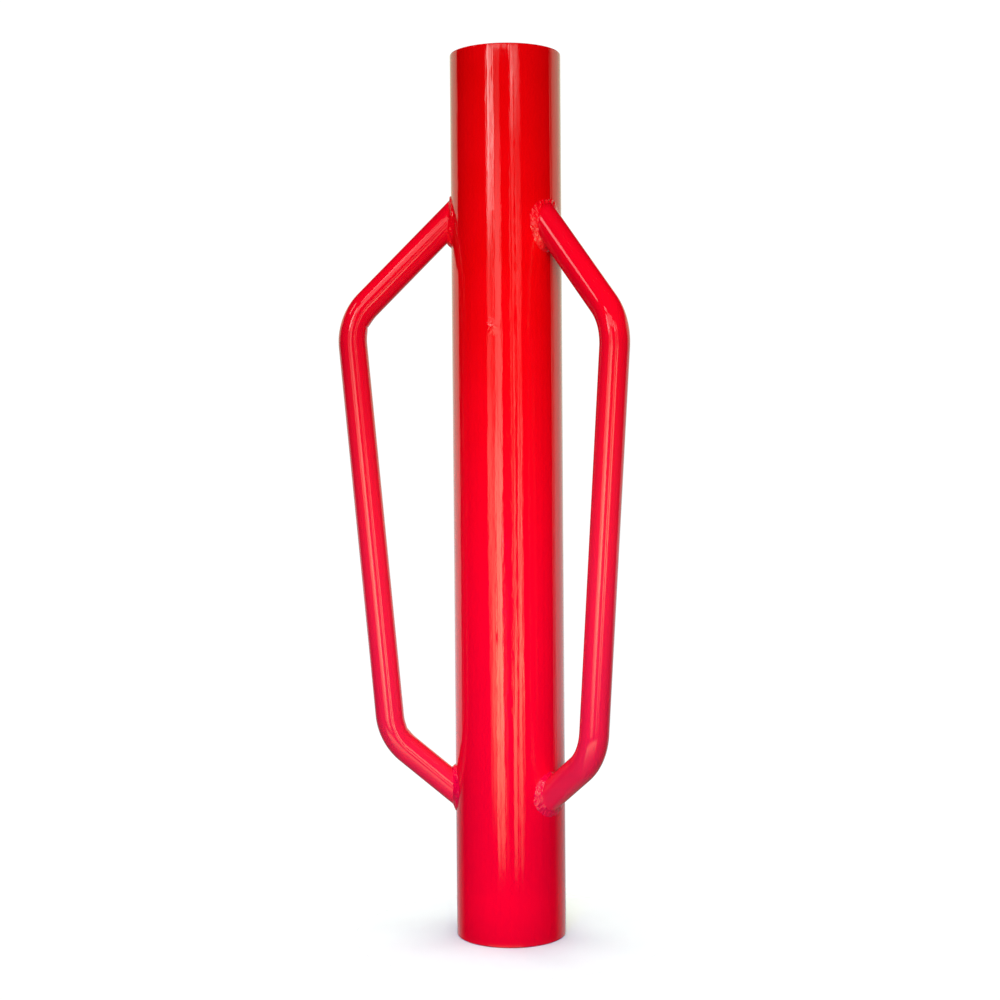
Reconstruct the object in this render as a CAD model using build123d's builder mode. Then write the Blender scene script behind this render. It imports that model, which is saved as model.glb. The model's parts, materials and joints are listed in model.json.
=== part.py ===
from build123d import *
import os
from math import cos, hypot, radians, sin

# A manual post driver: a heavy steel tube, open below and closed above by a striking plug, with
# two bent tube handles welded to its side. The driver is lifted by the handles and dropped, so
# that the plug lands on the post.
#
# The origin is the centre of the open end, on the tube's axis. +Z runs up to the closed end, and
# both handles lean round towards -Y. Lengths are in millimetres, angles in degrees.

# Body tube
tube_diameter = 76.2
tube_wall = 4.76
tube_length = 609.6
rim_round = 1.0
mouth_chamfer = 0.6

# Striking plug, seated in a counterbore in the closed end, and the ring bead above it
plug_thickness = 38.0
plug_shoulder = 1.5
plug_clearance = 0.15
plug_lead_in = 0.5
plug_weld_leg = 5.0
plug_weld_setback = 1.5
plug_weld_crown_radius = 8.0

# Handles: each is one tube with two bends, in an upright plane
handle_diameter = 20.0
handle_wall = 2.6
handle_bend_radius = 36.0
handle_azimuth = 68.5
handle_toe_in = 9.0
right_handle_drop = 6.0
upper_foot_depth = 112.0
upper_leg_reach = 70.0
upper_leg_drop = 71.0
lower_foot_height = 102.0
lower_leg_reach = 44.5
lower_leg_rise = 38.0

# Fillet bead round each handle foot: its leg on both surfaces, and the lip left at each toe
foot_weld_leg = 5.0
foot_weld_lip = 1.2

# Worked out from the sizes above
tube_radius = tube_diameter / 2
bore_radius = tube_radius - tube_wall
seat_radius = bore_radius + plug_shoulder
plug_radius = seat_radius - plug_clearance
plug_top = tube_length - plug_weld_setback - plug_weld_leg
plug_bottom = plug_top - plug_thickness
handle_radius = handle_diameter / 2
foot_embed = tube_radius / 2
upper_foot = tube_length - upper_foot_depth


def save(piece, name):
    """Labels a finished piece and writes it as its own STEP file."""
    piece.part.label = name
    export_step(piece.part, f"parts/{name}.step")


def around(azimuth):
    """Level unit vector at an azimuth from the front, -Y, positive towards +X."""
    return Vector(sin(radians(azimuth)), -cos(radians(azimuth)), 0)


def handle_plane(side, drop):
    """Upright plane of one handle: local x runs out from the tube's surface, local y is up."""
    outward = around(side * (handle_azimuth - handle_toe_in))
    on_surface = around(side * handle_azimuth) * tube_radius
    return Plane(
        origin=on_surface - Vector(0, 0, drop),
        x_dir=outward,
        z_dir=outward.cross(Vector(0, 0, 1)),
    )


def foot_plane(upright, height, reach, rise):
    """Plane square across a handle leg where its centreline meets the tube, facing out along it."""
    return Plane(
        origin=upright.origin + upright.y_dir * height,
        z_dir=upright.x_dir * reach + upright.y_dir * rise,
    )


os.makedirs("parts", exist_ok=True)

# Body tube: both outer rims rounded, the mouth of the bore chamfered, and the top end
# counterbored so that the plug rests on a shoulder
with BuildPart() as body_tube:
    with BuildSketch():
        Circle(tube_radius)
        Circle(bore_radius, mode=Mode.SUBTRACT)
    extrude(amount=tube_length)
    rims = body_tube.edges().filter_by(GeomType.CIRCLE).group_by(SortBy.RADIUS)
    fillet(rims[-1], rim_round)
    chamfer(rims[0].sort_by(Axis.Z)[0], mouth_chamfer)
    with BuildSketch(Plane.XY.offset(plug_bottom)):
        Circle(seat_radius)
    extrude(amount=tube_length - plug_bottom, mode=Mode.SUBTRACT)
save(body_tube, "body_tube")

# Striking plug: a thick disc that the counterbore takes with a small clearance
with BuildPart() as striking_plug:
    with BuildSketch(Plane.XY.offset(plug_bottom)):
        Circle(plug_radius)
    extrude(amount=plug_thickness)
    chamfer(striking_plug.edges().sort_by(Axis.Z)[0], plug_lead_in)
save(striking_plug, "striking_plug")

# Ring bead in the corner between the plug's top face and the counterbore
with BuildPart() as striking_plug_weld:
    with BuildSketch(Plane.XZ):
        with BuildLine():
            toe_on_plug = (seat_radius - plug_weld_leg, plug_top)
            toe_on_tube = (seat_radius, plug_top + plug_weld_leg)
            Polyline(toe_on_tube, (seat_radius, plug_top), toe_on_plug)
            RadiusArc(toe_on_plug, toe_on_tube, plug_weld_crown_radius)
        make_face()
    revolve(axis=Axis.Z)
save(striking_plug_weld, "striking_plug_weld")

# Handles and the beads round their feet. Both lower feet sit at one height, so the lower leg of
# the handle that is dropped is the flatter one.
for name, side, drop in (("left", -1, 0.0), ("right", 1, right_handle_drop)):
    upright = handle_plane(side, drop)
    lower_foot = lower_foot_height + drop
    lower_rise = lower_leg_rise - drop

    # The tube is swept along its bent centreline from inside the body tube and back, and both
    # ends are then coped to the body tube's surface
    upper_slope = upper_leg_drop / upper_leg_reach
    lower_slope = lower_rise / lower_leg_reach
    with BuildPart() as handle:
        with BuildLine(upright) as centreline:
            FilletPolyline(
                (-foot_embed, upper_foot + foot_embed * upper_slope),
                (upper_leg_reach, upper_foot - upper_leg_drop),
                (lower_leg_reach, lower_foot + lower_rise),
                (-foot_embed, lower_foot - foot_embed * lower_slope),
                radius=handle_bend_radius,
            )
        with BuildSketch(Plane(origin=centreline.line @ 0, z_dir=centreline.line % 0)):
            Circle(handle_radius)
            Circle(handle_radius - handle_wall, mode=Mode.SUBTRACT)
        sweep()
        with BuildSketch():
            Circle(tube_radius)
        extrude(amount=tube_length, mode=Mode.SUBTRACT)
    save(handle, f"{name}_handle")

    # Each bead is the space within its leg of both surfaces, with the outer corner bevelled off
    for end, height, reach, rise in (
        ("upper", upper_foot, upper_leg_reach, -upper_leg_drop),
        ("lower", lower_foot, lower_leg_reach, lower_rise),
    ):
        across = foot_plane(upright, height, reach, rise)
        bead_radius = handle_radius + foot_weld_leg
        lean = reach / hypot(reach, rise)
        bead_run = (foot_weld_leg + bead_radius) / lean
        with BuildPart() as bead:
            with BuildSketch(across):
                Circle(bead_radius)
            extrude(amount=bead_run, both=True)
            with BuildSketch():
                Circle(tube_radius + foot_weld_leg)
            extrude(amount=tube_length, mode=Mode.INTERSECT)
            crown = bead.edges().filter_by(GeomType.BSPLINE)
            chamfer(crown, foot_weld_leg - foot_weld_lip)
            with BuildSketch():
                Circle(tube_radius)
            extrude(amount=tube_length, mode=Mode.SUBTRACT)
            with BuildSketch(across):
                Circle(handle_radius)
            extrude(amount=bead_run, both=True, mode=Mode.SUBTRACT)
        save(bead, f"{name}_{end}_weld")
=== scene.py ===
import json
import math

import bmesh
import bpy
from mathutils import Matrix, Vector, noise


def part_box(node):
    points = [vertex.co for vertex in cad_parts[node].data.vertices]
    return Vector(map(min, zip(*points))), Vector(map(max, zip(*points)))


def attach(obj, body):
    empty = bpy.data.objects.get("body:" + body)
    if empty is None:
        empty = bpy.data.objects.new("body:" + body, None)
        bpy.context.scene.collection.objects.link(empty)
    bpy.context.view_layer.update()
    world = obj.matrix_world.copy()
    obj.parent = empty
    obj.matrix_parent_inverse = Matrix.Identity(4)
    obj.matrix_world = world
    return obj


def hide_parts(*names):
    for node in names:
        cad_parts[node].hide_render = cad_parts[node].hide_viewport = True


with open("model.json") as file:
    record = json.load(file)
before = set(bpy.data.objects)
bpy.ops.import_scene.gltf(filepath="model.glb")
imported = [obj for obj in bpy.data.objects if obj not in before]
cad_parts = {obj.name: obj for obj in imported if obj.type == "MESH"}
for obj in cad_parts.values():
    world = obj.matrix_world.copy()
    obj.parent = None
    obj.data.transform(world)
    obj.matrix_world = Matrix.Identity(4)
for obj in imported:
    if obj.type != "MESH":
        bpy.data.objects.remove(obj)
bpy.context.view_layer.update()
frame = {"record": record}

# A welded steel post driver in gloss red enamel. Every length is in metres and every angle in
# degrees. The open end's centre is the origin, +Z runs up to the closed end, and both handles
# lean round towards -Y. Azimuths run from -Y, positive towards +X.

BODY = "root"

# Sizes read from the frame
MOUNTS = {m["name"]: m for m in frame["record"]["mounts"]}
TUBE_LOW, TUBE_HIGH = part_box("body_tube")
TUBE_RADIUS = (TUBE_HIGH.x - TUBE_LOW.x) / 2
TUBE_LENGTH = TUBE_HIGH.z
BORE_RADIUS = MOUNTS["post_bore"]["dims"]["r_mm"] / 1000
PLUG_LOW, PLUG_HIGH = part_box("striking_plug")
PLUG_RADIUS = PLUG_HIGH.x
SEAT_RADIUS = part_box("striking_plug_weld")[1].x
PLUG_WELD_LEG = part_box("striking_plug_weld")[1].z - PLUG_HIGH.z

# Sizes repeated from the CAD model
RIM_ROUND = 0.0010
MOUTH_CHAMFER = 0.0006
PLUG_LEAD_IN = 0.0005
HANDLE_RADIUS = 0.0100
HANDLE_WALL = 0.0026
BEND_RADIUS = 0.0360
HANDLE_AZIMUTH = 68.5
HANDLE_TOE_IN = 9.0
RIGHT_HANDLE_DROP = 0.0060
UPPER_FOOT = TUBE_LENGTH - 0.1120
UPPER_REACH = 0.0700
UPPER_DROP = 0.0710
LOWER_FOOT = 0.1020
LOWER_REACH = 0.0445
LOWER_RISE = 0.0380

# The reference view
CAMERA_AZIMUTH = 22.0
CAMERA_DISTANCE = 1.1820
CAMERA_HEIGHT = 0.3417
CAMERA_YAW = 0.28
CAMERA_PITCH = -1.87
CAMERA_ROLL = -0.45
SENSOR_MM = 36.0
LENS_MM = 61.28
CLIP_NEAR = 0.01
CLIP_FAR = 50.0


def level(azimuth):
    """Level unit vector at an azimuth."""
    a = math.radians(azimuth)
    return Vector((math.sin(a), -math.cos(a), 0.0))


# ---------------------------------------------------------------- camera


def make_camera():
    """Camera at the reference view, turned by its small yaw, pitch and roll."""
    heading = math.radians(CAMERA_AZIMUTH + CAMERA_YAW)
    pitch = math.radians(CAMERA_PITCH)
    roll = math.radians(CAMERA_ROLL)
    forward = Vector(
        (
            -math.sin(heading) * math.cos(pitch),
            math.cos(heading) * math.cos(pitch),
            math.sin(pitch),
        )
    )
    right = Vector((math.cos(heading), math.sin(heading), 0.0))
    up = right.cross(forward)
    rolled_right = math.cos(roll) * right + math.sin(roll) * up
    rolled_up = math.cos(roll) * up - math.sin(roll) * right
    data = bpy.data.cameras.new("camera")
    data.sensor_width = SENSOR_MM
    data.sensor_fit = "HORIZONTAL"
    data.lens = LENS_MM
    data.clip_start = CLIP_NEAR
    data.clip_end = CLIP_FAR
    camera = bpy.data.objects.new("camera", data)
    bpy.context.scene.collection.objects.link(camera)
    place = level(CAMERA_AZIMUTH) * CAMERA_DISTANCE + Vector((0, 0, CAMERA_HEIGHT))
    turn = Matrix((rolled_right, rolled_up, -forward)).transposed()
    camera.matrix_world = Matrix.Translation(place) @ turn.to_4x4()
    bpy.context.scene.camera = camera


# ---------------------------------------------------------------- materials


class Nodes:
    """Short forms for building one node tree."""

    def __init__(self, tree):
        self.tree = tree
        tree.nodes.clear()

    def add(self, kind, inputs=None, **settings):
        """A node with its settings made, and its inputs linked or set."""
        node = self.tree.nodes.new(kind)
        for key, value in settings.items():
            setattr(node, key, value)
        for key, value in (inputs or {}).items():
            if isinstance(value, bpy.types.NodeSocket):
                self.tree.links.new(value, node.inputs[key])
            else:
                node.inputs[key].default_value = value
        return node

    def position(self, stretch=(1.0, 1.0, 1.0)):
        """Object coordinates, stretched."""
        coordinates = self.add("ShaderNodeTexCoord").outputs["Object"]
        mapping = self.add("ShaderNodeMapping", {"Vector": coordinates, "Scale": stretch})
        return mapping.outputs["Vector"]

    def noise(self, size, stretch=(1.0, 1.0, 1.0), detail=2.0, roughness=0.5):
        """Noise whose features are about size across."""
        return self.add(
            "ShaderNodeTexNoise",
            {
                "Vector": self.position(stretch),
                "Scale": 1.0 / size,
                "Detail": detail,
                "Roughness": roughness,
            },
        ).outputs["Fac"]

    def span(self, value, low, high, to_low=0.0, to_high=1.0, smooth=True):
        """Maps low..high to to_low..to_high, clamped."""
        return self.add(
            "ShaderNodeMapRange",
            {
                "Value": value,
                "From Min": low,
                "From Max": high,
                "To Min": to_low,
                "To Max": to_high,
            },
            interpolation_type="SMOOTHSTEP" if smooth else "LINEAR",
        ).outputs["Result"]

    def height(self, place):
        """The Z of a place or direction."""
        return self.add("ShaderNodeSeparateXYZ", {0: place}).outputs["Z"]

    def math(self, operation, a, b=0.0):
        return self.add("ShaderNodeMath", {0: a, 1: b}, operation=operation).outputs[0]

    def band(self, value, low, high, soft):
        """1 from low to high, fading to 0 over soft outside them."""
        rise = self.span(value, low - soft, low)
        fall = self.span(value, high, high + soft, 1.0, 0.0)
        return self.math("MULTIPLY", rise, fall)

    def product(self, *values):
        result = values[0]
        for value in values[1:]:
            result = self.math("MULTIPLY", result, value)
        return result

    def levels(self, value, stops):
        """Straight lines between (value, level) stops."""
        low, high = stops[0][0], stops[-1][0]
        ramp = self.add("ShaderNodeValToRGB", {"Fac": self.span(value, low, high, smooth=False)})
        elements = ramp.color_ramp.elements
        while len(elements) < len(stops):
            elements.new(0.5)
        for element, (at, level) in zip(elements, stops):
            element.position = (at - low) / (high - low)
        for element, (at, level) in zip(elements, stops):
            element.color = (level, level, level, 1.0)
        return ramp.outputs["Color"]

    def near(self, point, reach):
        """1 at a point, fading to 0 at reach from it."""
        away = self.add(
            "ShaderNodeVectorMath", {0: self.position(), 1: tuple(point)}, operation="DISTANCE"
        ).outputs["Value"]
        return self.span(away, 0.0, reach, 1.0, 0.0)

    def mix(self, share, a, b):
        """Colour a where share is 0, b where it is 1."""
        node = self.add("ShaderNodeMix", {"Factor": share}, data_type="RGBA")
        for socket, value in ((node.inputs[6], a), (node.inputs[7], b)):
            if isinstance(value, bpy.types.NodeSocket):
                self.tree.links.new(value, socket)
            else:
                socket.default_value = (*value, 1.0)
        return node.outputs[2]

    def bump(self, height, distance, before=None):
        """A bump of a given depth, laid over the one before it."""
        inputs = {"Height": height, "Distance": distance}
        if before is not None:
            inputs["Normal"] = before
        return self.add("ShaderNodeBump", inputs).outputs["Normal"]


def new_material(name):
    """An empty material and the short forms for its nodes."""
    material = bpy.data.materials.new(name)
    material.use_nodes = True
    return material, Nodes(material.node_tree)


def finish_material(nodes, shader):
    nodes.add("ShaderNodeOutputMaterial", {"Surface": shader.outputs[0]})


# Enamel colours that are the same on every piece. The heights between which the colour drifts from
# the lower colour to the upper one are painted light and shade: lighter and pinker low down, darker
# at the top. Up to a few centimetres the foot is darkened towards a dark red as painted shade.
PAINTED_LIGHT_FROM, PAINTED_LIGHT_TO = 0.22, 0.46
# painted shade: the height up to which the foot is darkened, and the dark red it darkens towards
FOOT_SHADE_TOP = 0.035
FOOT_SHADE_RED = (0.42, 0.0004, 0.0060)
CLOUD_RED = (0.95, 0.001, 0.012)
GRAIN_RED = (0.50, 0.0004, 0.0050)

# Sizes and depths of the marks that drawing leaves along the tube
DRAWN_SIZE, DRAWN_DEPTH = 0.0026, 0.000080
SCORE_SIZE, SCORE_DEPTH = 0.0040, 0.000025


def drawn_marks(n, normal):
    """Long shallow flutes and a few fine scores along the tube."""
    flutes = n.noise(DRAWN_SIZE, (1.0, 1.0, 0.012), detail=1.0)
    normal = n.bump(flutes, DRAWN_DEPTH, normal)
    scores = n.span(n.noise(SCORE_SIZE, (1.0, 1.0, 0.006), detail=0.0), 0.60, 0.66)
    return n.bump(scores, SCORE_DEPTH, normal)


def red_enamel(name, upper, lower, peel_stretch, grain_stretch, bumps, drawn=False, scars=()):
    """Gloss red enamel: orange peel, dust, fine grain, faint cloudiness, and painted shade
    darkening the foot.

    The colour drifts from lower to upper up the driver as painted light and shade, lighter and
    pinker low down and darker at the top. The bumps are the depths of the peel, of the dust in the
    paint and of the grain. A scar is a (point, reach, depth).
    """
    material, n = new_material(name)
    peel, dust, grain_depth = bumps
    up = n.height(n.position())
    # painted light and shade: the enamel is lighter and pinker low down and darker at the top
    red = n.mix(n.span(up, PAINTED_LIGHT_FROM, PAINTED_LIGHT_TO), lower, upper)
    # painted shade: the enamel darkens towards the foot of the driver
    red = n.mix(n.span(up, 0.0, FOOT_SHADE_TOP, 0.40, 0.0), red, FOOT_SHADE_RED)
    cloud = n.noise(0.035, detail=3.0)
    red = n.mix(n.span(cloud, 0.35, 0.65, 0.0, 0.10), red, CLOUD_RED)
    grain = n.noise(0.0009, grain_stretch, detail=2.0)
    red = n.mix(n.span(grain, 0.55, 0.80, 0.0, 0.20), red, GRAIN_RED)
    normal = n.bump(n.noise(0.0035, peel_stretch, detail=1.0), peel)
    normal = n.bump(n.noise(0.0012, detail=2.0, roughness=0.6), dust, normal)
    normal = n.bump(grain, grain_depth, normal)
    if drawn:
        normal = drawn_marks(n, normal)
    for point, reach, depth in scars:
        scar = n.product(n.near(point, reach), n.noise(reach * 0.45, detail=2.0))
        normal = n.bump(scar, depth, normal)
    rough = n.span(n.noise(0.012, detail=3.0), 0.3, 0.7, 0.30, 0.42)
    shader = n.add(
        "ShaderNodeBsdfPrincipled",
        {
            "Base Color": red,
            "Roughness": rough,
            "Normal": normal,
            "Specular IOR Level": 0.0,
            "Coat Weight": 1.0,
            "Coat Roughness": 0.03,
            "Coat IOR": 1.5,
            "Coat Normal": normal,
        },
    )
    finish_material(n, shader)
    return material


def rim_painted_shade_enamel():
    """Thin dull enamel on the tube's rims, darkened as painted shade for the dark line along each
    rim edge, and scuffed by handling.
    """
    material, n = new_material("rim_painted_shade_enamel")
    scuff = n.noise(0.0025, detail=3.0, roughness=0.6)
    # darker red: painted shade along the rim edges
    red = n.mix(n.span(scuff, 0.35, 0.65), (0.30, 0.0010, 0.0060), (0.46, 0.0012, 0.0080))
    red = n.mix(n.span(scuff, 0.66, 0.78, 0.0, 0.6), red, (0.16, 0.07, 0.05))
    shader = n.add(
        "ShaderNodeBsdfPrincipled",
        {
            "Base Color": red,
            "Roughness": n.span(scuff, 0.3, 0.7, 0.45, 0.65),
            "Normal": n.bump(scuff, 0.00008),
            "Specular IOR Level": 0.15,
        },
    )
    finish_material(n, shader)
    return material


def bore_steel():
    """Inside of the tube: red overspray at the mouth, fading into oily drawn steel."""
    material, n = new_material("bore_steel")
    height = n.height(n.position())
    patch = n.noise(0.014, detail=4.0, roughness=0.6)
    ragged = n.math("ADD", height, n.span(patch, 0.2, 0.8, -0.03, 0.03))
    bare = n.span(ragged, 0.030, 0.085)
    scratch = n.noise(0.0012, (1.0, 1.0, 0.04), detail=3.0)
    steel = n.mix(n.span(scratch, 0.35, 0.7), (0.16, 0.15, 0.14), (0.36, 0.34, 0.32))
    steel = n.mix(n.span(patch, 0.52, 0.75, 0.0, 0.7), steel, (0.20, 0.115, 0.065))
    normal = n.bump(scratch, 0.00006)
    normal = n.bump(n.noise(0.003, detail=2.0), 0.00008, normal)
    shader = n.add(
        "ShaderNodeBsdfPrincipled",
        {
            "Base Color": n.mix(bare, (0.70, 0.001, 0.014), steel),
            "Metallic": n.math("MULTIPLY", bare, 0.85),
            "Roughness": n.span(bare, 0.0, 1.0, 0.30, 0.48),
            "Normal": normal,
        },
    )
    finish_material(n, shader)
    return material


def struck_steel():
    """Sawn and hammered steel of the plug's lower face."""
    material, n = new_material("struck_steel")
    saw = n.noise(0.0010, (1.0, 0.04, 1.0), detail=3.0)
    dents = n.noise(0.006, detail=3.0)
    colour = n.mix(n.span(saw, 0.3, 0.7), (0.30, 0.29, 0.28), (0.55, 0.53, 0.51))
    colour = n.mix(n.span(dents, 0.55, 0.8, 0.0, 0.5), colour, (0.16, 0.12, 0.09))
    normal = n.bump(dents, 0.00030)
    normal = n.bump(saw, 0.00005, normal)
    shader = n.add(
        "ShaderNodeBsdfPrincipled",
        {
            "Base Color": colour,
            "Metallic": 1.0,
            "Roughness": n.span(saw, 0.3, 0.7, 0.28, 0.50),
            "Normal": normal,
        },
    )
    finish_material(n, shader)
    return material


# ---------------------------------------------------------------- mesh helpers


def wobble(point, size, seed=0.0):
    """Smooth noise from -1 to 1 whose features are about size across."""
    return noise.noise(Vector(point) / size + Vector((seed, seed * 1.7, seed * 2.3)))


def add_piece(name, vertices, faces, materials, replaces, face_material=None):
    """A closed smooth mesh that rides on the driver's one body and stands for a CAD node."""
    mesh = bpy.data.meshes.new(name)
    mesh.from_pydata([tuple(v) for v in vertices], [], faces)
    for material in materials:
        mesh.materials.append(material)
    if face_material is not None:
        mesh.polygons.foreach_set("material_index", face_material)
    mesh.polygons.foreach_set("use_smooth", [True] * len(mesh.polygons))
    work = bmesh.new()
    work.from_mesh(mesh)
    bmesh.ops.recalc_face_normals(work, faces=work.faces)
    work.to_mesh(mesh)
    work.free()
    piece = bpy.data.objects.new(name, mesh)
    bpy.context.scene.collection.objects.link(piece)
    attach(piece, BODY)
    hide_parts(replaces)


def ring_faces(rings, columns, close_rings=False):
    """Quads between successive rings of a closed loop of columns."""
    faces = []
    for i in range(rings if close_rings else rings - 1):
        here = i * columns
        there = ((i + 1) % rings) * columns
        for j in range(columns):
            k = (j + 1) % columns
            faces.append((here + j, here + k, there + k, there + j))
    return faces


# ---------------------------------------------------------------- body tube

TUBE_COLUMNS = 180
OUTER_STEP = 0.0030
BORE_STEPS = 40
RIM_STEPS = 6
RIM_FLAT = 0.0004
SEAT_BREAK = 0.0003
HAIR = 0.0001
WAVE_SIZE = 0.013
WAVE_DEPTH = 0.000035
WAVE_INSET = 0.000020
WAVE_STRETCH = 0.35


def rim_arc(centre_z, start, stop):
    """(radius, height) points of a rounded outer rim, between two angles from level."""
    points = []
    for i in range(RIM_STEPS + 1):
        a = math.radians(start + (stop - start) * i / RIM_STEPS)
        r = TUBE_RADIUS - RIM_ROUND + RIM_ROUND * math.cos(a)
        points.append((r, centre_z + RIM_ROUND * math.sin(a)))
    return points


def tube_profile():
    """The (radius, height) points of the tube's outside and then of its inside, one closed loop."""
    outside = [(TUBE_RADIUS - RIM_ROUND - RIM_FLAT, 0.0)] + rim_arc(RIM_ROUND, -90, 0)
    steps = round((TUBE_LENGTH - 2 * RIM_ROUND) / OUTER_STEP)
    for i in range(1, steps):
        z = RIM_ROUND + (TUBE_LENGTH - 2 * RIM_ROUND) * i / steps
        outside.append((TUBE_RADIUS, z))
    outside += rim_arc(TUBE_LENGTH - RIM_ROUND, 0, 90)
    outside += [
        (SEAT_RADIUS + RIM_FLAT, TUBE_LENGTH),
        (SEAT_RADIUS, TUBE_LENGTH - SEAT_BREAK),
    ]
    inside = [
        (SEAT_RADIUS, PLUG_HIGH.z + PLUG_WELD_LEG / 2),
        (SEAT_RADIUS, PLUG_LOW.z + HAIR),
        (SEAT_RADIUS - HAIR, PLUG_LOW.z),
        (BORE_RADIUS + HAIR, PLUG_LOW.z),
        (BORE_RADIUS, PLUG_LOW.z - HAIR),
    ]
    for i in range(1, BORE_STEPS + 1):
        inside.append((BORE_RADIUS, PLUG_LOW.z + (MOUTH_CHAMFER - PLUG_LOW.z) * i / BORE_STEPS))
    inside.append((BORE_RADIUS + MOUTH_CHAMFER, 0.0))
    return outside, inside


def make_body_tube(paint, bore, rim):
    """The tube: enamel outside with faint waves, bare inside, and dull enamel darkened as painted
    shade on both rims.
    """
    outside, inside = tube_profile()
    profile = outside + inside
    vertices = []
    for ring, (r, z) in enumerate(profile):
        outer = ring < len(outside) and r > TUBE_RADIUS - RIM_ROUND / 2
        for j in range(TUBE_COLUMNS):
            a = 2 * math.pi * j / TUBE_COLUMNS
            swell = 0.0
            if outer:
                spot = (TUBE_RADIUS * math.cos(a), TUBE_RADIUS * math.sin(a), z * WAVE_STRETCH)
                swell = WAVE_DEPTH * wobble(spot, WAVE_SIZE) - WAVE_INSET
            radius = r + swell
            vertices.append((radius * math.sin(a), -radius * math.cos(a), z))
    faces = ring_faces(len(profile), TUBE_COLUMNS, close_rings=True)
    per_ring = []
    for r, z in outside:
        at_rim = min(z, TUBE_LENGTH - z) < RIM_ROUND * 0.7
        per_ring.append(2 if at_rim else 0)
    per_ring += [1] * len(inside)
    face_material = [m for m in per_ring for _ in range(TUBE_COLUMNS)]
    add_piece("driver_tube", vertices, faces, (paint, bore, rim), "body_tube", face_material)


# ---------------------------------------------------------------- striking plug and its weld

PLUG_COLUMNS = 96
PLUG_RINGS = 14
PLUG_TOP_BREAK = 0.0003
STRUCK_SHARE = 0.9
STRUCK_DEPTH, STRUCK_SIZE = 0.00035, 0.009
TOP_DEPTH, TOP_SIZE = 0.00010, 0.012
SAME_HEIGHT = 1e-6
PLUG_WELD_COLUMNS = 300
PLUG_WELD_ACROSS = 12
PLUG_WELD_PITCH = 0.0024
PLUG_WELD_SWELL = 0.0005
PLUG_WELD_RIPPLE = 0.00030
PLUG_WELD_LUMP = 0.00020
PLUG_WELD_LIFT = 0.00005


def lathe(profile, columns):
    """Vertices and faces of a (radius, height) profile turned about Z, closed by two fans."""
    vertices = []
    for r, z in profile:
        for j in range(columns):
            a = 2 * math.pi * j / columns
            vertices.append((r * math.sin(a), -r * math.cos(a), z))
    faces = ring_faces(len(profile), columns)
    for ring, (_, z) in ((0, profile[0]), (len(profile) - 1, profile[-1])):
        centre = len(vertices)
        vertices.append((0.0, 0.0, z))
        here = ring * columns
        faces += [(here + j, here + (j + 1) % columns, centre) for j in range(columns)]
    return vertices, faces


def make_striking_plug(paint, steel):
    """The plug: bare steel, dented where posts strike it, with its top painted over."""
    radii = [PLUG_RADIUS * (i + 1) / (PLUG_RINGS + 1) for i in range(PLUG_RINGS)]
    profile = [(r, PLUG_LOW.z) for r in radii]
    profile += [
        (PLUG_RADIUS - PLUG_LEAD_IN, PLUG_LOW.z),
        (PLUG_RADIUS, PLUG_LOW.z + PLUG_LEAD_IN),
        (PLUG_RADIUS, PLUG_HIGH.z - PLUG_TOP_BREAK),
        (PLUG_RADIUS - PLUG_TOP_BREAK, PLUG_HIGH.z),
    ]
    profile += [(r, PLUG_HIGH.z) for r in reversed(radii)]
    vertices, faces = lathe(profile, PLUG_COLUMNS)
    shaped = []
    for x, y, z in vertices:
        struck = math.hypot(x, y) < PLUG_RADIUS * STRUCK_SHARE
        if struck and abs(z - PLUG_LOW.z) < SAME_HEIGHT:
            z += STRUCK_DEPTH * (0.5 + 0.5 * wobble((x, y, 0.0), STRUCK_SIZE, 3.0))
        if abs(z - PLUG_HIGH.z) < SAME_HEIGHT:
            z -= TOP_DEPTH * (0.5 + 0.5 * wobble((x, y, 0.0), TOP_SIZE, 5.0))
        shaped.append((x, y, z))
    painted_from = PLUG_HIGH.z - PLUG_TOP_BREAK - TOP_DEPTH
    face_material = []
    for face in faces:
        top = min(shaped[v][2] for v in face) > painted_from
        face_material.append(0 if top else 1)
    add_piece(
        "driver_plug", shaped, faces, (paint, steel), "striking_plug", face_material
    )


def crescent(phase):
    """One weld ripple, from 0 at its edges to 1 near its leading side."""
    t = phase - math.floor(phase)
    return (1 - t) ** 0.6 * min(1.0, t * 6)


def make_plug_weld(paint):
    """Rippled ring bead in the corner between the plug's top and the tube."""
    vertices = []
    ripples = round(2 * math.pi * (SEAT_RADIUS - PLUG_WELD_LEG / 2) / PLUG_WELD_PITCH)
    for j in range(PLUG_WELD_COLUMNS):
        a = 2 * math.pi * j / PLUG_WELD_COLUMNS
        spoke = Vector((math.sin(a), -math.cos(a), 0.0))
        leg = PLUG_WELD_LEG * (0.93 + 0.07 * wobble(spoke * 0.03, 0.008))
        toe_in = spoke * (SEAT_RADIUS - leg) + Vector((0, 0, PLUG_HIGH.z - HAIR))
        toe_up = spoke * (SEAT_RADIUS - PLUG_WELD_LIFT) + Vector((0, 0, PLUG_HIGH.z + leg))
        outward = (Vector((0, 0, 1)) - spoke).normalized()
        for i in range(PLUG_WELD_ACROSS + 1):
            v = i / PLUG_WELD_ACROSS
            point = toe_in.lerp(toe_up, v)
            ripple = crescent(ripples * j / PLUG_WELD_COLUMNS + 0.5 * (2 * v - 1) ** 2)
            swell = math.sin(math.pi * v)
            lump = wobble(spoke * 0.03 + Vector((0, 0, v * 0.004)), 0.004, 7.0)
            proud = PLUG_WELD_SWELL + PLUG_WELD_RIPPLE * ripple + PLUG_WELD_LUMP * lump
            point += outward * swell * proud
            vertices.append(point)
        vertices.append(spoke * SEAT_RADIUS + Vector((0, 0, PLUG_HIGH.z - HAIR)))
    faces = ring_faces(PLUG_WELD_COLUMNS, PLUG_WELD_ACROSS + 2, close_rings=True)
    add_piece("plug_weld", vertices, faces, (paint,), "striking_plug_weld")


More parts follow.
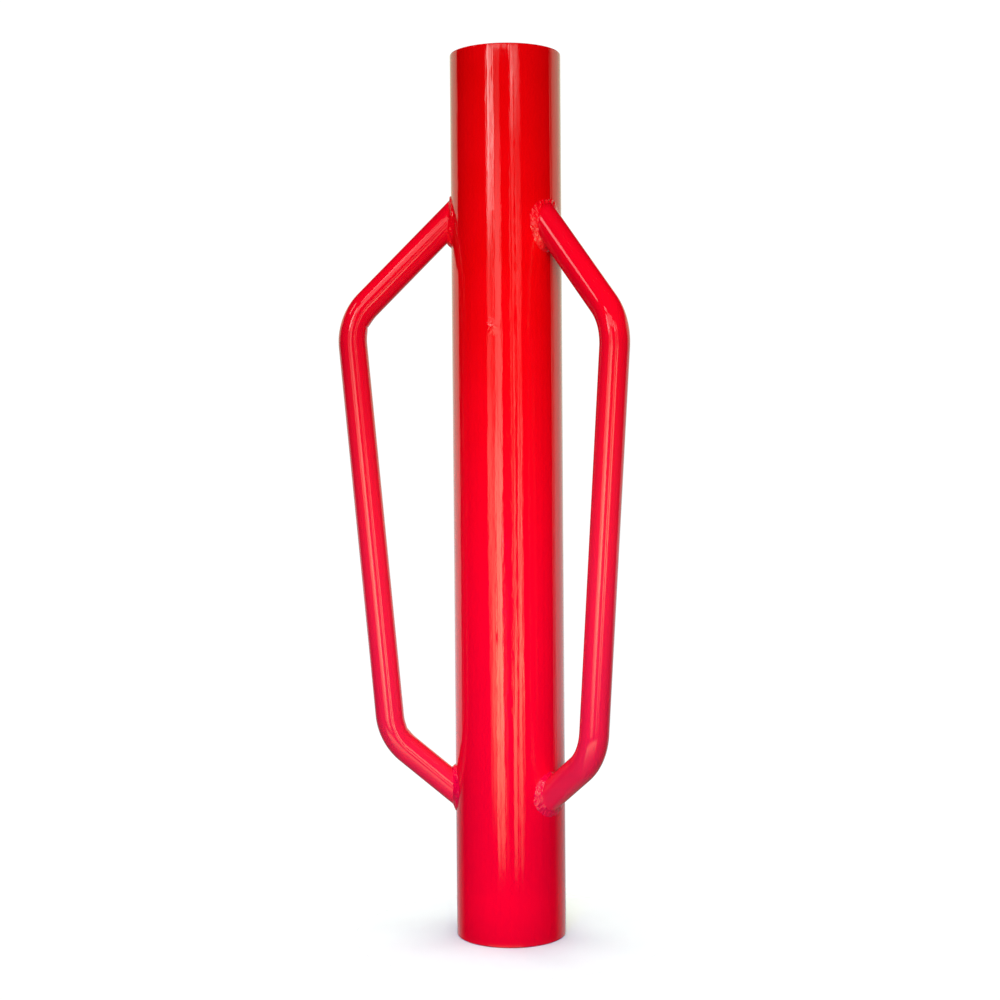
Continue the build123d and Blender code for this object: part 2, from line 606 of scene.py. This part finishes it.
# ---------------------------------------------------------------- handles


class HandlePlane:
    """The upright plane of one handle: x runs out from the tube's surface, z is up.

    The plane is lowered by drop, but both lower feet sit at one height on the tube.
    """

    def __init__(self, side, drop):
        self.drop = drop
        self.out = level(side * (HANDLE_AZIMUTH - HANDLE_TOE_IN))
        self.root = level(side * HANDLE_AZIMUTH) * TUBE_RADIUS - Vector((0, 0, drop))
        self.across = self.out.cross(Vector((0, 0, 1)))

    def point(self, x, z):
        return self.root + self.out * x + Vector((0, 0, z))

    def direction(self, x, z):
        return (self.out * x + Vector((0, 0, z))).normalized()


def on_tube(start, direction):
    """Where a line leaves the body tube's surface, going out."""
    a = direction.x**2 + direction.y**2
    b = start.x * direction.x + start.y * direction.y
    c = start.x**2 + start.y**2 - TUBE_RADIUS**2
    return start + direction * ((-b + math.sqrt(b * b - a * c)) / a)


SECTION = 48
LEG_RINGS = 14
ARC_RINGS = 36
GRIP_RINGS = 40

# How far each bend goes oval, and the depths, length and angle of the creases inside the upper
# and lower bends
OVAL = 0.030
OVAL_RUN = 0.45 * BEND_RADIUS
CREASES = {"left": (0.0010, 0.0005), "right": (0.0005, 0.0002)}
CREASE_RUN = 0.0028
CREASE_ANGLE = 0.60
CREASE_BUNCHING = 1.6


def section_ring(centre, inward, across, radius, from_bend, crease):
    """One cross-section of the handle tube, pinched on the inside of a bend."""
    near = math.exp(-((from_bend / OVAL_RUN) ** 2))
    pinch = crease * math.exp(-abs(from_bend) / CREASE_RUN)
    ring = []
    for j in range(SECTION):
        f = 2 * math.pi * j / SECTION
        turned = (f + math.pi) % (2 * math.pi) - math.pi
        r = radius * (1 - OVAL * near * math.cos(2 * f))
        r -= pinch * math.exp(-((turned / CREASE_ANGLE) ** 2))
        ring.append(centre + inward * (r * math.cos(f)) + across * (r * math.sin(f)))
    return ring


def bend_rings(plane, corner, before, after, radius, crease):
    """Rings round one bend of a handle, bunched towards the crease at its middle."""
    turn = before.angle(after)
    tangent = BEND_RADIUS * math.tan(turn / 2)
    side = Vector((before.y, -before.x))
    centre = corner - before * tangent + side * BEND_RADIUS
    rings = []
    for i in range(ARC_RINGS + 1):
        off_middle = 2 * i / ARC_RINGS - 1
        share = 0.5 + 0.5 * math.copysign(abs(off_middle) ** CREASE_BUNCHING, off_middle)
        a = turn * share
        run = Vector(
            (
                before.x * math.cos(a) + before.y * math.sin(a),
                before.y * math.cos(a) - before.x * math.sin(a),
            )
        )
        normal = Vector((run.y, -run.x))
        place = centre - normal * BEND_RADIUS
        rings.append(
            section_ring(
                plane.point(place.x, place.y),
                plane.direction(normal.x, normal.y),
                plane.across,
                radius,
                (share - 0.5) * turn * BEND_RADIUS,
                crease,
            )
        )
    return rings


def coped(ring, outward):
    """A ring slid along its leg to the body tube's surface."""
    return [on_tube(p, outward) for p in ring]


def between(a, b, count):
    """Rings strictly between two rings."""
    return [[p.lerp(q, (i + 1) / (count + 1)) for p, q in zip(a, b)] for i in range(count)]


def handle_rings(plane, radius, creases):
    """Rings of one wall of a handle, from its upper foot to its lower, coped to the tube."""
    corners = [
        Vector((0.0, UPPER_FOOT)),
        Vector((UPPER_REACH, UPPER_FOOT - UPPER_DROP)),
        Vector((LOWER_REACH, LOWER_FOOT + LOWER_RISE)),
        Vector((0.0, LOWER_FOOT + plane.drop)),
    ]
    runs = [(b - a).normalized() for a, b in zip(corners, corners[1:])]
    upper = bend_rings(plane, corners[1], runs[0], runs[1], radius, creases[0])
    lower = bend_rings(plane, corners[2], runs[1], runs[2], radius, creases[1])
    start = coped(upper[0], plane.direction(runs[0].x, runs[0].y))
    stop = coped(lower[-1], -plane.direction(runs[2].x, runs[2].y))
    rings = [start, *between(start, upper[0], LEG_RINGS), *upper]
    rings += between(upper[-1], lower[0], GRIP_RINGS)
    rings += [*lower, *between(lower[-1], stop, LEG_RINGS), stop]
    return rings


def make_handle(name, plane, paint):
    """One bent handle tube, open at both coped feet."""
    outer = handle_rings(plane, HANDLE_RADIUS, CREASES[name])
    inner = handle_rings(plane, HANDLE_RADIUS - HANDLE_WALL, CREASES[name])
    rings = outer + list(reversed(inner))
    vertices = [p for ring in rings for p in ring]
    faces = ring_faces(len(rings), SECTION, close_rings=True)
    add_piece(f"{name}_handle_tube", vertices, faces, (paint,), f"{name}_handle")


# ---------------------------------------------------------------- foot welds

# Widths on the tube in the closed corner, at the sides and in the open corner
UPPER_LEGS = (0.0045, 0.0052, 0.0013)
LOWER_LEGS = (0.0032, 0.0052, 0.0026)

WELD_COLUMNS = 300
WELD_ACROSS = 16
WELD_PITCH = 0.0016
WELD_SINK = 0.0004
WELD_FILL = 0.38
WELD_SWELL = 0.0002
WELD_RIPPLE = 0.00030
WELD_LUMP, WELD_LUMP_SIZE = 0.00115, 0.0022
WELD_GRIT, WELD_GRIT_SIZE = 0.00030, 0.0011
WELD_NOISE_RADIUS = 0.012
WELD_NOISE_WIDTH = 0.006


def make_foot_weld(name, plane, height, reach, rise, legs, seed, paint):
    """Uneven rippled fillet bead round one handle foot."""
    foot = plane.point(0.0, height)
    leg = plane.direction(reach, rise)
    closed = plane.direction(-abs(rise), math.copysign(reach, rise))
    across = plane.across
    closed_width, side_width, open_width = legs
    vertices = []
    run = 0.0
    last = None
    for j in range(WELD_COLUMNS):
        f = 2 * math.pi * j / WELD_COLUMNS
        spoke = closed * math.cos(f) + across * math.sin(f)
        end_width = closed_width if math.cos(f) > 0 else open_width
        nominal = side_width + (end_width - side_width) * math.cos(f) ** 2
        around = spoke * WELD_NOISE_RADIUS
        on_tube_leg = nominal * (
            1 + 0.13 * wobble(around, 0.006, seed) + 0.07 * wobble(around, 0.0022, seed + 4)
        )
        on_handle_leg = (0.6 * nominal + 0.0016) * (1 + 0.15 * wobble(around, 0.005, seed + 9))
        corner = on_tube(foot + spoke * HANDLE_RADIUS, leg)
        toe = on_tube(foot + spoke * (HANDLE_RADIUS + on_tube_leg), leg)
        top = corner + leg * on_handle_leg
        outward = ((toe + top) / 2 - corner).normalized()
        if last is not None:
            run += (toe - last).length
        last = toe
        skin = Vector((toe.x, toe.y, 0)).normalized()
        toe_sunk = toe - skin * WELD_SINK
        top_sunk = top - spoke * WELD_SINK
        middle = corner.lerp((toe_sunk + top_sunk) / 2, 2 * WELD_FILL)
        for i in range(WELD_ACROSS + 1):
            v = i / WELD_ACROSS
            point = toe_sunk * (1 - v) ** 2 + middle * (2 * v * (1 - v)) + top_sunk * v**2
            swell = math.sin(math.pi * v)
            ripple = crescent(run / WELD_PITCH + 0.45 * (2 * v - 1) ** 2)
            spot = around + leg * (v * WELD_NOISE_WIDTH)
            uneven = WELD_RIPPLE * ripple + (
                WELD_LUMP * wobble(spot, WELD_LUMP_SIZE, seed + 1)
                + WELD_GRIT * wobble(spot, WELD_GRIT_SIZE, seed + 2)
            )
            rough = 1.0 - 0.65 * v
            vertices.append(point + outward * (swell * (WELD_SWELL + rough * uneven)))
        vertices.append(corner - skin * WELD_SINK - spoke * WELD_SINK)
    faces = ring_faces(WELD_COLUMNS, WELD_ACROSS + 2, close_rings=True)
    add_piece(f"{name}_bead", vertices, faces, (paint,), f"{name}_weld")


# ---------------------------------------------------------------- stage and light


def facing_axis(azimuth, distance, height):
    """Placement that faces the driver's axis level, at an azimuth from the camera's."""
    way = level(CAMERA_AZIMUTH + azimuth)
    place = way * distance + Vector((0, 0, height))
    return Matrix.Translation(place) @ way.to_track_quat("Z", "Y").to_matrix().to_4x4()


def area_light(name, placement, side, power, colour, spread):
    """Soft square light that no glossy surface mirrors."""
    data = bpy.data.lights.new(name, "AREA")
    data.shape = "SQUARE"
    data.size = side
    data.energy = power
    data.color = colour
    data.spread = math.radians(spread)
    light = bpy.data.objects.new(name, data)
    bpy.context.scene.collection.objects.link(light)
    light.matrix_world = placement
    light.visible_glossy = False
    light.visible_camera = False


FLOOR_SIDE = 3.0
FLOOR_FADE = (0.012, 0.160)


def make_floor():
    """Pale floor that fades out into the white surroundings."""
    material, n = new_material("pale_floor")
    away = n.add("ShaderNodeVectorMath", {0: n.position()}, operation="LENGTH").outputs["Value"]
    white = n.mix(n.noise(0.4, detail=3.0), (0.86, 0.98, 0.85), (0.89, 1.00, 0.88))
    surface = n.add("ShaderNodeBsdfDiffuse", {"Color": white})
    clear = n.add("ShaderNodeBsdfTransparent")
    fade = n.span(away, *FLOOR_FADE)
    mixed = n.add("ShaderNodeMixShader", {0: fade, 1: surface.outputs[0], 2: clear.outputs[0]})
    finish_material(n, mixed)
    mesh = bpy.data.meshes.new("floor")
    half = FLOOR_SIDE / 2
    corners = [(-half, -half, 0), (half, -half, 0), (half, half, 0), (-half, half, 0)]
    mesh.from_pydata(corners, [], [(0, 1, 2, 3)])
    mesh.materials.append(material)
    floor = bpy.data.objects.new("floor", mesh)
    bpy.context.scene.collection.objects.link(floor)
    floor.visible_glossy = False


# Tall studio lights in front of the driver. Each has its left and right azimuth from the
# camera's, positive to its right, and its brightness at a few elevations from foot to head.
STRIPS = (
    (
        (-39.5, -28.5),
        ((-13, 0), (-9, 3.0), (-2, 3.0), (2, 0.9), (6, 0.8), (10, 8.5), (18, 5.0), (20, 0)),
    ),
    (
        (-25.5, -12.5),
        ((-14.4, 0), (-13.6, 2.0), (-8, 7.0), (-2, 5.0), (2, 2.2), (8, 1.4), (11, 0.5), (20, 0)),
    ),
    (
        (-9.0, -4.0),
        ((-14.4, 0), (-13.6, 0.8), (-8, 1.6), (-6, 1.2), (-4, 0), (20, 0)),
    ),
    (
        (8.5, 14.0),
        ((-14.4, 0), (-13.6, 1.2), (-8, 4.5), (-2, 2.6), (5, 1.3))
        + ((10, 1.3), (12, 6.5), (18, 5.0), (20, 0)),
    ),
    (
        (20.5, 28.0),
        ((-14.4, 0), (-13.6, 1.2), (-8, 6.2), (-2, 4.2), (2, 1.0))
        + ((5, 1.6), (10, 1.0), (12, 3.2), (20, 0)),
    ),
)
STRIP_SOFT = 0.8

# The curved wall that carries them, from its left to its right azimuth
WALL_RADIUS = 1.30
WALL_LOW = -0.33
WALL_HIGH = 1.75
WALL_LEFT = -48.0
WALL_RIGHT = 40.0
WALL_STEPS = 40


def bearing(n, vector):
    """Azimuth of a direction or place from the camera's azimuth."""
    facing = level(CAMERA_AZIMUTH)
    turned = []
    for axis in (Vector((-facing.y, facing.x, 0)), facing):
        turned.append(
            n.add(
                "ShaderNodeVectorMath", {0: vector, 1: tuple(axis)}, operation="DOT_PRODUCT"
            ).outputs["Value"]
        )
    return n.math("MULTIPLY", n.math("ARCTAN2", *turned), 180 / math.pi)


def strip_light(n, azimuth, elevation):
    """Brightness of the tall lights."""
    light = 0.0
    for (left, right), stops in STRIPS:
        strip = n.product(n.band(azimuth, left, right, STRIP_SOFT), n.levels(elevation, stops))
        light = n.math("ADD", light, strip)
    return light


def strip_tint(n, elevation):
    """Colour of the tall lights, warmer near the floor."""
    return n.mix(n.span(elevation, -9.0, 10.0), (1.0, 0.82, 0.45), (1.0, 0.96, 0.90))


def make_light_wall():
    """Curved wall of tall lights behind the camera, which only glossy surfaces mirror.

    A height on the wall stands for the elevation that the camera sees mirrored in the tube.
    """
    material, n = new_material("light_wall")
    place = n.position()
    azimuth = bearing(n, place)
    rise = n.math("SUBTRACT", n.height(place), CAMERA_HEIGHT)
    reach = CAMERA_DISTANCE + WALL_RADIUS - 2 * TUBE_RADIUS
    elevation = n.math("MULTIPLY", n.math("ARCTAN2", rise, reach), 180 / math.pi)
    light = strip_light(n, azimuth, elevation)
    panel = n.product(n.band(azimuth, -27.0, 2.0, 2.0), n.band(elevation, 13.5, 24.0, 0.5), 1.9)
    edge = n.product(n.band(azimuth, -36.0, -25.0, 1.0), n.band(elevation, 23.5, 27.5, 0.8), 5.0)
    light = n.math("ADD", n.math("ADD", light, panel), edge)
    seams = n.noise(0.080, (1.0, 1.0, 0.05), detail=1.0)
    light = n.product(light, n.span(seams, 0.42, 0.49, 0.30, 1.10))
    glow = n.add("ShaderNodeEmission", {"Color": strip_tint(n, elevation), "Strength": light})
    finish_material(n, glow)
    vertices = []
    for i in range(WALL_STEPS + 1):
        across = WALL_LEFT + (WALL_RIGHT - WALL_LEFT) * i / WALL_STEPS
        spoke = level(CAMERA_AZIMUTH + across) * WALL_RADIUS
        vertices += [spoke + Vector((0, 0, WALL_LOW)), spoke + Vector((0, 0, WALL_HIGH))]
    faces = [(2 * i, 2 * i + 2, 2 * i + 3, 2 * i + 1) for i in range(WALL_STEPS)]
    mesh = bpy.data.meshes.new("light_wall")
    mesh.from_pydata([tuple(v) for v in vertices], [], faces)
    mesh.materials.append(material)
    wall = bpy.data.objects.new("light_wall", mesh)
    bpy.context.scene.collection.objects.link(wall)
    wall.visible_camera = False
    wall.visible_diffuse = False
    wall.visible_shadow = False


def make_world():
    """White to the eye. As light: white behind the driver, dim in front, and a few tall lights."""
    world = bpy.data.worlds.new("studio")
    world.use_nodes = True
    bpy.context.scene.world = world
    n = Nodes(world.node_tree)
    path = n.add("ShaderNodeLightPath")
    mirrored = path.outputs["Is Glossy Ray"]
    direction = n.add("ShaderNodeTexCoord").outputs["Generated"]
    azimuth = bearing(n, direction)
    elevation = n.math("MULTIPLY", n.math("ARCSINE", n.height(direction)), 180 / math.pi)

    # behind the driver, dimmer and softer near the floor
    sharp = n.math(
        "MAXIMUM", n.span(azimuth, 103.0, 117.0), n.span(azimuth, -124.0, -117.0, 1.0, 0.0)
    )
    soft = n.math(
        "MAXIMUM", n.span(azimuth, 98.0, 150.0), n.span(azimuth, -155.0, -112.0, 1.0, 0.0)
    )
    low = n.span(elevation, -12.5, -8.5)
    behind = n.math(
        "ADD", n.product(sharp, low), n.product(soft, n.math("SUBTRACT", 1.0, low), 0.6)
    )
    behind = n.product(behind, n.span(elevation, 17.0, 25.0, 1.0, 0.0))
    behind = n.product(behind, n.span(elevation, -24.0, -17.0, 0.22, 1.0))
    behind_tint = n.mix(n.span(elevation, -12.0, 11.0), (1.0, 0.97, 1.0), (1.0, 1.0, 0.75))

    # the tall lights as diffuse surfaces see them, and a panel above the camera
    panel = n.product(n.band(azimuth, -30.0, 30.0, 4.0), n.band(elevation, 21.0, 26.0, 1.5), 7.0)
    front = n.math("ADD", strip_light(n, azimuth, elevation), panel)
    front = n.product(front, n.math("SUBTRACT", 1.0, mirrored))

    # a narrow window high on the left, the floor, and a pale sheet on the floor in front
    window = n.product(n.band(azimuth, -79.0, -70.0, 1.5), n.band(elevation, 32.0, 42.0, 2.0), 4.0)
    floor = n.product(n.span(elevation, -22.0, -16.0, 0.10, 0.0), mirrored)
    sheet = n.product(
        n.band(azimuth, -45.0, 20.0, 8.0),
        n.levels(elevation, ((-60, 0.1), (-45, 0.4), (-34, 1.5), (-27, 2.6), (-21, 0.0))),
        mirrored,
    )
    front = n.math("ADD", n.math("ADD", front, window), n.math("ADD", floor, sheet))

    lights = []
    for tint, strength in ((behind_tint, behind), (strip_tint(n, elevation), front)):
        node = n.add("ShaderNodeBackground", {"Color": tint, "Strength": strength})
        lights.append(node.outputs[0])
    around = n.add("ShaderNodeAddShader", {0: lights[0], 1: lights[1]})
    seen = n.add("ShaderNodeBackground", {"Color": (1, 1, 1, 1), "Strength": 1.05})
    both = n.add(
        "ShaderNodeMixShader",
        {0: path.outputs["Is Camera Ray"], 1: around.outputs[0], 2: seen.outputs[0]},
    )
    n.add("ShaderNodeOutputWorld", {"Surface": both.outputs[0]})


def make_lights():
    """A warm light and a low cool one in front, and a wide one that shines straight down."""
    area_light("key", facing_axis(4.0, 0.9, 0.40), 0.3, 0.66, (1.0, 0.80, 0.20), 60.0)
    area_light("cool_low", facing_axis(-8.0, 0.9, 0.10), 0.3, 2.5, (0.11, 0.05, 1.0), 60.0)
    area_light("overhead", Matrix.Translation((0, 0, 2.2)), 3.0, 26.0, (1.0, 1.0, 1.0), 50.0)


# ---------------------------------------------------------------- build

make_camera()
bpy.context.scene.view_settings.view_transform = "Standard"
bpy.context.scene.view_settings.look = "None"
scar_at = level(5.0) * TUBE_RADIUS + Vector((0, 0, 0.421))
# The upper and lower colours of each enamel are painted light and shade: darker at the top, lighter
# and pinker low down
tube_paint = red_enamel(
    "red_enamel_tube",
    upper=(0.68, 0.0004, 0.0020),
    lower=(0.80, 0.0005, 0.0095),
    peel_stretch=(1.0, 1.0, 0.3),
    grain_stretch=(1.0, 1.0, 0.04),
    bumps=(0.000050, 0.000016, 0.000026),
    drawn=True,
    scars=((scar_at, 0.0075, 0.0005),),
)
handle_paint = red_enamel(
    "red_enamel_handles",
    upper=(0.62, 0.0008, 0.0120),
    lower=(0.76, 0.0120, 0.0225),
    peel_stretch=(0.6, 0.6, 0.6),
    grain_stretch=(1.0, 1.0, 1.0),
    bumps=(0.000035, 0.000004, 0.000003),
)
bead_paint = red_enamel(
    "red_enamel_beads",
    upper=(0.66, 0.0005, 0.0070),
    lower=(0.68, 0.0010, 0.0200),
    peel_stretch=(1.6, 1.6, 1.6),
    grain_stretch=(1.0, 1.0, 1.0),
    bumps=(0.000120, 0.000020, 0.000003),
)
make_body_tube(tube_paint, bore_steel(), rim_painted_shade_enamel())
make_striking_plug(handle_paint, struck_steel())
make_plug_weld(bead_paint)
for name, side, drop in (("left", -1, 0.0), ("right", 1, RIGHT_HANDLE_DROP)):
    plane = HandlePlane(side, drop)
    make_handle(name, plane, handle_paint)
    for end, height, reach, rise, legs, seed in (
        ("upper", UPPER_FOOT, UPPER_REACH, -UPPER_DROP, UPPER_LEGS, 11.0),
        ("lower", LOWER_FOOT + drop, LOWER_REACH, LOWER_RISE - drop, LOWER_LEGS, 23.0),
    ):
        make_foot_weld(f"{name}_{end}", plane, height, reach, rise, legs, seed + side, bead_paint)
make_floor()
make_light_wall()
make_world()
make_lights()
